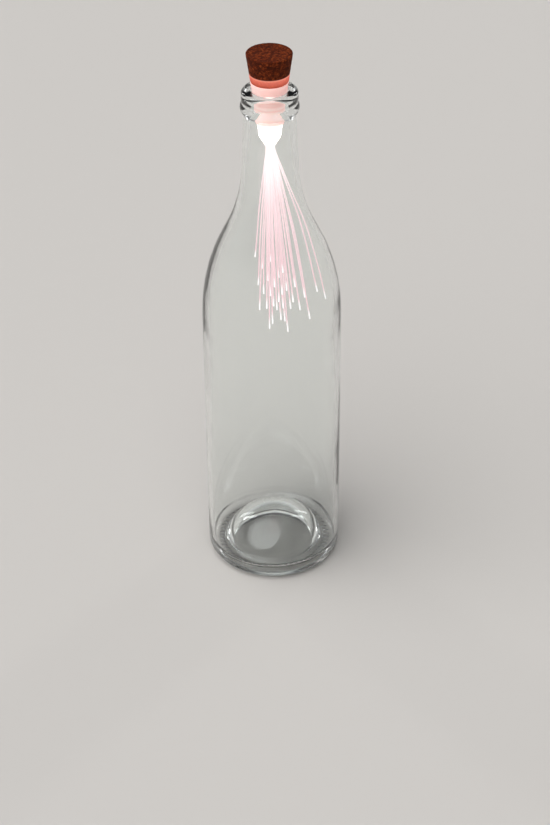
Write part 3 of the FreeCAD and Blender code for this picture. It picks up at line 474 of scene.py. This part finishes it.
def siliconeMoulded():
    # Milky silicone rubber, moulded with a satin skin: light goes in and spreads in soft clouds, white near the lamp
    # and pink further up, and painted shade darkens the glow into bands in the grooves between the ribs.
    material, tree, shader = newMaterial("siliconeMoulded")
    setInputs(
        shader, Base_Color=linear("#F0D6D1"), Roughness=0.38, IOR=1.41, Subsurface_Weight=1.0,
        Subsurface_Radius=(1.0, 0.75, 0.7), Subsurface_Scale=2.5 * mm, Emission_Strength=0.56,
    )
    low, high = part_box("plug_shell")
    place = addNode(tree, "TexCoord").outputs["Object"]
    height = addNode(tree, "SeparateXYZ", {0: place}).outputs["Z"]
    cloud = addNode(tree, "TexNoise", {"Vector": place, "Scale": 1 / (3.5 * mm), "Detail": 2.0})
    drift = addNode(tree, "MapRange", {"Value": cloud.outputs[0], "To Min": -1.2 * mm, "To Max": 1.2 * mm})
    level = addNode(tree, "Math", {0: height, 1: drift.outputs[0]}, operation="ADD")
    rise = addNode(tree, "MapRange", {"Value": level.outputs[0], "From Min": low.z, "From Max": high.z})
    stops = ((0.0, "#FFFCFA"), (0.25, "#FFEDE8"), (0.5, "#F0BEB6"), (0.7, "#DB9F96"), (0.83, "#E5AAA1"))
    glow = addNode(tree, "ValToRGB", {"Fac": rise.outputs[0]}, stops)
    # painted shade: the glow is mixed towards a darker pink where the grooves lie
    groove = addNode(tree, "Attribute", attribute_name="groove")
    shade = addNode(tree, "MapRange", {"Value": groove.outputs["Fac"], "To Min": 0.0, "To Max": 0.45})
    grooveShadedGlow = addNode(
        tree, "Mix", {"Factor": shade.outputs[0], 6: glow.outputs[0], 7: linear("#B5766C")}, data_type="RGBA"
    )
    tree.links.new(grooveShadedGlow.outputs[2], shader.inputs["Emission Color"])
    satin = addNode(tree, "TexNoise", {"Vector": place, "Scale": 1 / (0.3 * mm), "Detail": 2.0})
    bump = addNode(tree, "Bump", {"Height": satin.outputs[0], "Strength": 0.15, "Distance": 0.03 * mm})
    tree.links.new(bump.outputs[0], shader.inputs["Normal"])
    return material


settle(buildPlug(), "light", "plug_plastic", siliconeMoulded(), "plug_shell")
print("plug done")


# Light cup

cup = dict(
    turns=120, arcStep=5, lineStep=2.0, fitRoom=0.05, wall=1.0, noseWall=0.35, spigot=1.8, spigotWall=0.2, seatStep=0.1,
    # the bowl, measured up and out from the nose: a hollow curve, then a full one
    neckOut=0.9, neckUp=1.1, neckBend=3.0, bowlUp=7.6, bowlBend=9.0, innerUp=2.4,
)


def buildCup():
    # The outline is turned: outside from the nose up over the bowl to the spigot, and back down inside.
    c = cup
    low, high = (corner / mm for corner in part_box("light_cup"))
    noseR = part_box("bundle_sleeve")[1].x / mm + c["fitRoom"]
    shoulderZ = high.z - c["spigot"]
    spigotR = high.x - c["wall"] + c["spigotWall"]
    corners = [
        (noseR, low.z),
        (noseR + c["noseWall"], low.z),
        (noseR + c["neckOut"], low.z + c["neckUp"], c["neckBend"], -1),
        (high.x, low.z + c["bowlUp"], c["bowlBend"], 1),
        (high.x, shoulderZ),
        (spigotR, shoulderZ),
        (spigotR, high.z),
        (high.x - c["wall"], high.z - c["seatStep"]),
        (high.x - c["wall"], low.z + c["bowlUp"] + c["seatStep"]),
        (noseR, low.z + c["innerUp"], c["bowlBend"], -1),
        (noseR, low.z),
    ]
    profile = outline(corners, c["arcStep"], c["lineStep"])[:-1]
    return skin("lightCup", turned(profile, c["turns"]), closedRows=True)


def acrylicMouldedLit():
    # Clear acrylic, moulded and filled with light: white hot in the bowl, pinker where it enters the plug and
    # at the nose, with faint flow marks in its gloss.
    material, tree, shader = newMaterial("acrylicMouldedLit")
    setInputs(shader, Base_Color=linear("#FFF4F2"), IOR=1.49, Transmission_Weight=0.6, Emission_Strength=1.3)
    low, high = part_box("light_cup")
    place = addNode(tree, "TexCoord").outputs["Object"]
    height = addNode(tree, "SeparateXYZ", {0: place}).outputs["Z"]
    rise = addNode(tree, "MapRange", {"Value": height, "From Min": low.z, "From Max": high.z})
    stops = ((0.0, "#FBDDD8"), (0.2, "#FFF6F3"), (0.45, "#FFFFFF"), (0.75, "#FFF3EF"), (1.0, "#F2B9B1"))
    glow = addNode(tree, "ValToRGB", {"Fac": rise.outputs[0]}, stops)
    tree.links.new(glow.outputs[0], shader.inputs["Emission Color"])
    flow = addNode(tree, "TexNoise", {"Vector": place, "Scale": 1 / (2.0 * mm), "Detail": 2.0})
    dull = addNode(tree, "MapRange", {"Value": flow.outputs[0], "To Min": 0.06, "To Max": 0.22})
    tree.links.new(dull.outputs[0], shader.inputs["Roughness"])
    return material


settle(buildCup(), "light", "cup_plastic", acrylicMouldedLit(), "light_cup")
print("cup done")


# Optical filaments

strand = dict(
    diameter=0.75, sides=10, spacing=1.6, fewest=8, lead=8.4, sleeve=5.0, seat=1.0,
    elbowOut=0.50, elbowDown=0.42, bend=0.45, steps=7,
    # how far a filament strays from its clean curve, over which share of it that grows, and its waves across and deep
    wander=0.35, wanderFrom=(0.25, 1.0), waves=(5, 6),
    topBand=0.05, tipBand=0.7,  # how near the node's top or bottom a vertex counts to its end
)


def strandRoute(name):
    # Straight down, out to an elbow and on to the tip. Each corner is rounded by a parabola between points on its two
    # runs: (1 - t) squared a + 2 t (1 - t) corner + t squared b.
    places = np.array([vertex.co for vertex in nodes[name].data.vertices]) / mm
    tall = places[:, 2]
    top = places[tall > tall.max() - strand["topBand"]].mean(0)
    tip = places[tall < tall.min() + strand["tipBand"]].mean(0)
    leave = top - [0, 0, strand["lead"]]
    out = tip - leave
    elbow = leave + out * [strand["elbowOut"], strand["elbowOut"], strand["elbowDown"]]
    leg1 = np.linalg.norm(elbow - leave)
    leg2 = np.linalg.norm(tip - elbow)
    bend1 = min(strand["lead"] - strand["sleeve"], strand["bend"] * leg1)
    bend2 = strand["bend"] * min(leg1, leg2)
    lean, droop = (elbow - leave) / leg1, (tip - elbow) / leg2
    points = [top, top - [0, 0, strand["seat"]]]
    for start, corner, end in (
        (leave + [0, 0, bend1], leave, leave + lean * bend1),
        (elbow - lean * bend2, elbow, elbow + droop * bend2),
    ):
        t = np.linspace(0, 1, strand["steps"])[:, None]
        points.extend((1 - t) ** 2 * start + 2 * t * (1 - t) * corner + t ** 2 * end)
    points.append(tip)
    return np.array(points)


def resample(points, spacing):
    # even steps along a line of points
    length = np.concatenate([[0], np.cumsum(np.linalg.norm(np.diff(points, axis=0), axis=1))])
    count = max(strand["fewest"], int(length[-1] / spacing))
    at = np.linspace(0, length[-1], count)
    return np.stack([np.interp(at, length, points[:, axis]) for axis in range(3)], 1), at / length[-1]


def tube(name, route, share, radius, sides):
    # A circle is carried along the route: radius times (cos turn side + sin turn over), where side lies across the
    # route's direction and the Y axis, and over across both. The first and last circles close on the route's ends.
    ahead = np.gradient(route, axis=0)
    ahead /= np.linalg.norm(ahead, axis=1)[:, None]
    side = np.cross(ahead, [0.0, 1.0, 0.0])
    side /= np.linalg.norm(side, axis=1)[:, None]
    over = np.cross(ahead, side)
    turn = np.linspace(0, 2 * math.pi, sides, endpoint=False)
    ring = np.cos(turn)[None, :, None] * side[:, None] + np.sin(turn)[None, :, None] * over[:, None]
    grid = route[:, None] + radius * ring
    piece = skin(name, grid, (route[0], route[-1]))
    along = piece.data.attributes.new("along", "FLOAT", "POINT")
    values = np.concatenate([np.repeat(share, sides), [0, 1]]).astype(np.float32)
    along.data.foreach_set("value", values)
    return piece


def acrylicFibreDrawn():
    # Drawn acrylic fibre, lit from its upper end: a faint pink-white shine along the side, and a hot white cut tip.
    material, tree, shader = newMaterial("acrylicFibreDrawn")
    setInputs(shader, Base_Color=linear("#B5A1A4"), Roughness=0.2, IOR=1.49)
    along = addNode(tree, "Attribute", attribute_name="along")
    stops = ((0.0, "#FFFFFF"), (0.15, "#F4EAEA"), (0.4, "#DFC8CB"), (0.93, "#DABABF"), (0.98, "#FFFFFF"))
    glow = addNode(tree, "ValToRGB", {"Fac": along.outputs["Fac"]}, stops)
    tree.links.new(glow.outputs[0], shader.inputs["Emission Color"])
    shader.inputs["Emission Strength"].default_value = 1.0
    return material


fibre = acrylicFibreDrawn()
strandNames = sorted(name for name in nodes if name.startswith("filament_"))
for name in strandNames:
    route, share = resample(strandRoute(name), strand["spacing"])
    phase = random.uniform(0, 2 * math.pi, 4)
    sways = [np.sin(count * share + start) - np.sin(start) for count, start in zip(strand["waves"], phase)]
    grows = strand["wander"] * ease(share, *strand["wanderFrom"]) * share
    swing = grows[:, None] * np.stack([*sways, 0 * share], 1)
    piece = tube("strand" + name[-2:], route + swing, share, strand["diameter"] / 2, strand["sides"])
    settle(piece, "light", "filament_acrylic", fibre, name)
print("filaments done:", len(strandNames))


# Inner pieces, which keep the frame's own meshes

def nickelPlatedSteelPressed():
    # Deep-drawn steel can with bright nickel: a cool mirror with fine turning marks round it and a few dull smudges.
    material, tree, shader = newMaterial("nickelPlatedSteelPressed")
    setInputs(shader, Base_Color=linear("#C9CACB"), Metallic=1.0)
    place = addNode(tree, "TexCoord").outputs["Object"]
    rings = addNode(
        tree, "TexWave", {"Vector": place, "Scale": 0.314 / (0.4 * mm), "Distortion": 1.5, "Detail": 2.0},
        wave_type="RINGS", rings_direction="Z",
    )
    smudge = addNode(tree, "TexNoise", {"Vector": place, "Scale": 1 / (3.0 * mm), "Detail": 3.0})
    dull = addNode(tree, "MapRange", {"Value": smudge.outputs[0], "To Min": 0.16, "To Max": 0.42})
    tree.links.new(dull.outputs[0], shader.inputs["Roughness"])
    bump = addNode(tree, "Bump", {"Height": rings.outputs[1], "Strength": 0.15, "Distance": 0.02 * mm})
    tree.links.new(bump.outputs[0], shader.inputs["Normal"])
    return material


def nickelPlatedBrassStamped():
    # Stamped spring brass with a thin nickel coat: warm grey metal with straight rolling lines and yellow worn spots.
    material, tree, shader = newMaterial("nickelPlatedBrassStamped")
    setInputs(shader, Metallic=1.0, Roughness=0.3)
    place = addNode(tree, "TexCoord").outputs["Object"]
    drawn = addNode(tree, "Mapping", {"Vector": place, "Scale": (1.0, 12.0, 1.0)})
    lines = addNode(tree, "TexNoise", {"Vector": drawn.outputs[0], "Scale": 1 / (1.0 * mm), "Detail": 2.0})
    worn = addNode(tree, "TexNoise", {"Vector": place, "Scale": 1 / (0.8 * mm), "Detail": 2.0})
    stops = ((0.0, "#C4C0B6"), (0.6, "#BFB9AA"), (0.72, "#C2A55C"))
    colour = addNode(tree, "ValToRGB", {"Fac": worn.outputs[0]}, stops)
    tree.links.new(colour.outputs[0], shader.inputs["Base Color"])
    bump = addNode(tree, "Bump", {"Height": lines.outputs[0], "Strength": 0.25, "Distance": 0.02 * mm})
    tree.links.new(bump.outputs[0], shader.inputs["Normal"])
    return material


def glassLaminateMasked():
    # Glass-fibre laminate under green solder mask: a glossy dark green skin over a faint square weave, with paler green
    # lines where the copper tracks run. One wave of the bands is 0.314 over their scale.
    material, tree, shader = newMaterial("glassLaminateMasked")
    setInputs(shader, Roughness=0.28, Coat_Weight=0.4)
    place = addNode(tree, "TexCoord").outputs["Object"]
    tracks = addNode(
        tree, "TexWave", {"Vector": place, "Scale": 0.314 / (1.3 * mm)}, wave_type="BANDS", bands_direction="X"
    )
    spread = addNode(tree, "TexNoise", {"Vector": place, "Scale": 1 / (2.2 * mm), "Detail": 0.0})
    shown = addNode(tree, "Math", {0: tracks.outputs[1], 1: spread.outputs[0]}, operation="MINIMUM")
    colour = addNode(tree, "ValToRGB", {"Fac": shown.outputs[0]}, ((0.46, "#1C4A2A"), (0.49, "#3F8A4C")))
    tree.links.new(colour.outputs[0], shader.inputs["Base Color"])
    weave = addNode(tree, "TexChecker", {"Vector": place, "Scale": 1 / (0.4 * mm)})
    bump = addNode(tree, "Bump", {"Height": weave.outputs[1], "Strength": 0.1, "Distance": 0.02 * mm})
    tree.links.new(bump.outputs[0], shader.inputs["Normal"])
    return material


def epoxyMouldedBlack():
    # Black filled epoxy, moulded against a sparked tool: matt, with a fine even grain.
    material, tree, shader = newMaterial("epoxyMouldedBlack")
    place = addNode(tree, "TexCoord").outputs["Object"]
    grain = addNode(tree, "TexNoise", {"Vector": place, "Scale": 1 / (0.12 * mm), "Detail": 2.0})
    colour = addNode(tree, "ValToRGB", {"Fac": grain.outputs[0]}, ((0.3, "#141416"), (0.7, "#2A2A2D")))
    tree.links.new(colour.outputs[0], shader.inputs["Base Color"])
    setInputs(shader, Roughness=0.62)
    bump = addNode(tree, "Bump", {"Height": grain.outputs[0], "Strength": 0.3, "Distance": 0.03 * mm})
    tree.links.new(bump.outputs[0], shader.inputs["Normal"])
    return material


def epoxyCastLit():
    # Water-clear cast epoxy round a lit chip: white hot at the dome and a little warmer towards the flange.
    material, tree, shader = newMaterial("epoxyCastLit")
    setInputs(shader, Base_Color=linear("#FFF8F2"), Roughness=0.05, IOR=1.53, Emission_Strength=1.2)
    low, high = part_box("led_lamp")
    place = addNode(tree, "TexCoord").outputs["Object"]
    height = addNode(tree, "SeparateXYZ", {0: place}).outputs["Z"]
    rise = addNode(tree, "MapRange", {"Value": height, "From Min": low.z, "From Max": high.z})
    glow = addNode(tree, "ValToRGB", {"Fac": rise.outputs[0]}, ((0.0, "#FFFFFF"), (0.6, "#FFEFE4"), (1.0, "#E9B48C")))
    tree.links.new(glow.outputs[0], shader.inputs["Emission Color"])
    return material


def copperWireTinned():
    # Tinned copper wire, dipped: soft grey metal with slightly uneven gloss.
    material, tree, shader = newMaterial("copperWireTinned")
    setInputs(shader, Base_Color=linear("#BDBDBB"), Metallic=1.0)
    place = addNode(tree, "TexCoord").outputs["Object"]
    dip = addNode(tree, "TexNoise", {"Vector": place, "Scale": 1 / (0.6 * mm), "Detail": 2.0})
    dull = addNode(tree, "MapRange", {"Value": dip.outputs[0], "To Min": 0.25, "To Max": 0.5})
    tree.links.new(dull.outputs[0], shader.inputs["Roughness"])
    return material


def absMouldedWhite():
    # White ABS from a lightly sparked mould: satin, with a fine pebble grain and faint cloudy flow marks.
    material, tree, shader = newMaterial("absMouldedWhite")
    setInputs(shader, Roughness=0.42, IOR=1.53)
    place = addNode(tree, "TexCoord").outputs["Object"]
    flow = addNode(tree, "TexNoise", {"Vector": place, "Scale": 1 / (6.0 * mm), "Detail": 2.0})
    colour = addNode(tree, "ValToRGB", {"Fac": flow.outputs[0]}, ((0.3, "#D3D1CC"), (0.7, "#DEDCD8")))
    tree.links.new(colour.outputs[0], shader.inputs["Base Color"])
    grain = addNode(tree, "TexVoronoi", {"Vector": place, "Scale": 1 / (0.25 * mm)})
    bump = addNode(tree, "Bump", {"Height": grain.outputs[0], "Strength": 0.2, "Distance": 0.02 * mm})
    tree.links.new(bump.outputs[0], shader.inputs["Normal"])
    return material


def absMouldedGlued():
    # The same ABS under a smear of amber glue on its outside: glossier yellow patches over dull white.
    material, tree, shader = newMaterial("absMouldedGlued")
    place = addNode(tree, "TexCoord").outputs["Object"]
    smear = addNode(tree, "TexNoise", {"Vector": place, "Scale": 1 / (2.5 * mm), "Detail": 4.0})
    colour = addNode(tree, "ValToRGB", {"Fac": smear.outputs[0]}, ((0.45, "#D2CFC6"), (0.62, "#C9A868")))
    tree.links.new(colour.outputs[0], shader.inputs["Base Color"])
    gloss = addNode(tree, "MapRange", {"Value": smear.outputs[0], "To Min": 0.6, "To Max": 0.2})
    tree.links.new(gloss.outputs[0], shader.inputs["Roughness"])
    return material


def polycarbonateMouldedReflector():
    # Titanium-white polycarbonate, moulded glossy so that it throws the lamp's light forward, and lit by it.
    material, tree, shader = newMaterial("polycarbonateMouldedReflector")
    setInputs(shader, Roughness=0.18, IOR=1.58, Emission_Color=linear("#FFF3EC"), Emission_Strength=0.5)
    place = addNode(tree, "TexCoord").outputs["Object"]
    flow = addNode(tree, "TexNoise", {"Vector": place, "Scale": 1 / (3.0 * mm), "Detail": 1.0})
    colour = addNode(tree, "ValToRGB", {"Fac": flow.outputs[0]}, ((0.3, "#E4E3E0"), (0.7, "#EDECEA")))
    tree.links.new(colour.outputs[0], shader.inputs["Base Color"])
    return material


def acrylicTubeDrawnLit():
    # Clear drawn acrylic tube round the bundle, filled with its light: white, with faint lengthwise drawing lines.
    material, tree, shader = newMaterial("acrylicTubeDrawnLit")
    setInputs(shader, Base_Color=linear("#F4E6E4"), Roughness=0.15, IOR=1.49, Emission_Strength=1.1)
    place = addNode(tree, "TexCoord").outputs["Object"]
    drawn = addNode(tree, "Mapping", {"Vector": place, "Scale": (1.0, 1.0, 0.05)})
    lines = addNode(tree, "TexNoise", {"Vector": drawn.outputs[0], "Scale": 1 / (0.5 * mm), "Detail": 1.0})
    glow = addNode(tree, "ValToRGB", {"Fac": lines.outputs[0]}, ((0.3, "#F6DAD5"), (0.6, "#FFF8F6")))
    tree.links.new(glow.outputs[0], shader.inputs["Emission Color"])
    return material


can, spring, tin, white = nickelPlatedSteelPressed(), nickelPlatedBrassStamped(), copperWireTinned(), absMouldedWhite()
moulding = epoxyMouldedBlack()
innerFinish = dict(
    battery_tube=white, switch_cap=white, cork_liner=absMouldedGlued(), button_cell_1=can, button_cell_2=can,
    button_cell_3=can, cell_contact=spring, contact_strip=spring, contact_plate=spring,
    circuit_board=glassLaminateMasked(), driver_chip=moulding, resistor=moulding, led_lamp=epoxyCastLit(),
    led_anode=tin, led_cathode=tin, lamp_holder=polycarbonateMouldedReflector(), bundle_sleeve=acrylicTubeDrawnLit(),
)
for name, material in innerFinish.items():
    for slot in nodes[name].material_slots:
        slot.material = material
print("inner pieces done:", len(innerFinish))


# Floor, light and camera

board = dict(half=30000, colour="#CFCBC6")


def buildFloor():
    # one square, wide enough to meet the horizon; matt painted board, pale and warm
    half = board["half"]
    points = np.array([(-half, -half, 0), (half, -half, 0), (half, half, 0), (-half, half, 0)], float)
    floor = addPiece("floor", points, [[0, 1, 2, 3]])
    material, tree, shader = newMaterial("paleStudioBoard")
    setInputs(shader, Base_Color=linear(board["colour"]), Roughness=0.7, Specular_IOR_Level=0.2)
    floor.data.materials.append(material)


light = dict(keyFrom=(-0.45, -0.4, 1.0), keyPower=2.6, keySpread=75)
windows = dict(turn=40, width=0.09, middle=0.32, height=0.5, power=4.5)


def buildKey():
    # one broad soft lamp from above and the left
    key = bpy.data.objects.new("key", bpy.data.lights.new("key", "SUN"))
    bpy.context.scene.collection.objects.link(key)
    key.data.energy = light["keyPower"]
    key.data.angle = math.radians(light["keySpread"])
    key.rotation_euler = Vector(light["keyFrom"]).to_track_quat("Z", "Y").to_euler()


def buildStudio():
    # The studio all round: pale at the horizon, where the board ends, and darker above, so that glass gets dark edges.
    # Two tall narrow windows behind the bottle, mirror images of each other, give its edges their bright lines. A
    # window is where the direction's part across its own middle is small.
    world = bpy.data.worlds.new("studio")
    bpy.context.scene.world = world
    world.use_nodes = True
    tree = world.node_tree
    way = addNode(tree, "SeparateXYZ", {0: addNode(tree, "TexCoord").outputs["Generated"]}).outputs
    stops = ((0.0, "#C8C8C7"), (0.1, "#C8C8C7"), (0.35, "#4C4E52"), (0.65, "#707276"), (1.0, "#A4A6A9"))
    sky = addNode(tree, "ValToRGB", {"Fac": way["Z"]}, stops)
    right = addNode(tree, "Math", {0: way["X"]}, operation="ABSOLUTE")
    folded = addNode(tree, "CombineXYZ", {"X": right.outputs[0], "Y": way["Y"]})
    turn = math.radians(windows["turn"])
    aside = (math.cos(turn), -math.sin(turn), 0)
    across = addNode(tree, "VectorMath", {0: folded.outputs[0], 1: aside}, operation="DOT_PRODUCT").outputs["Value"]
    seen = addNode(tree, "LightPath").outputs["Is Camera Ray"]
    window = 1.0
    for operation, inputs in (
        ("COMPARE", {0: across, 1: 0.0, 2: windows["width"] / 2}),
        ("COMPARE", {0: way["Z"], 1: windows["middle"], 2: windows["height"] / 2}),
        ("GREATER_THAN", {0: way["Y"], 1: 0.0}),
        ("LESS_THAN", {0: seen, 1: 0.5}),
    ):
        limit = addNode(tree, "Math", inputs, operation=operation).outputs[0]
        window = addNode(tree, "Math", {0: limit, 1: window}, operation="MULTIPLY").outputs[0]
    bright = (windows["power"],) * 3
    lit = addNode(tree, "VectorMath", {0: window, 1: bright, 2: sky.outputs[0]}, operation="MULTIPLY_ADD")
    tree.links.new(lit.outputs[0], tree.nodes["Background"].inputs["Color"])


# lens, lift and across are in pixels of the photograph, which is 825 pixels tall
view = dict(
    tall=825, lens=1958.64, lift=-82.5, across=3.1, sensor=36,
    pitch=33.194, distance=0.8956, height=0.7323, roll=0.56,
)


def buildCamera():
    camera = bpy.data.objects.new("camera", bpy.data.cameras.new("camera"))
    bpy.context.scene.collection.objects.link(camera)
    camera.data.lens = view["lens"] / view["tall"] * view["sensor"]
    camera.data.sensor_width = view["sensor"]
    camera.data.shift_x = view["across"] / view["tall"]
    camera.data.shift_y = view["lift"] / view["tall"]
    camera.location = (0, -view["distance"], view["height"])
    aim = Euler((math.radians(90 - view["pitch"]), 0, 0)).to_matrix()
    camera.rotation_euler = (aim @ Matrix.Rotation(math.radians(-view["roll"]), 3, "Z")).to_euler()
    bpy.context.scene.camera = camera


buildFloor()
buildKey()
buildStudio()
buildCamera()
bpy.context.scene.view_settings.view_transform = "Standard"
print("stage done")
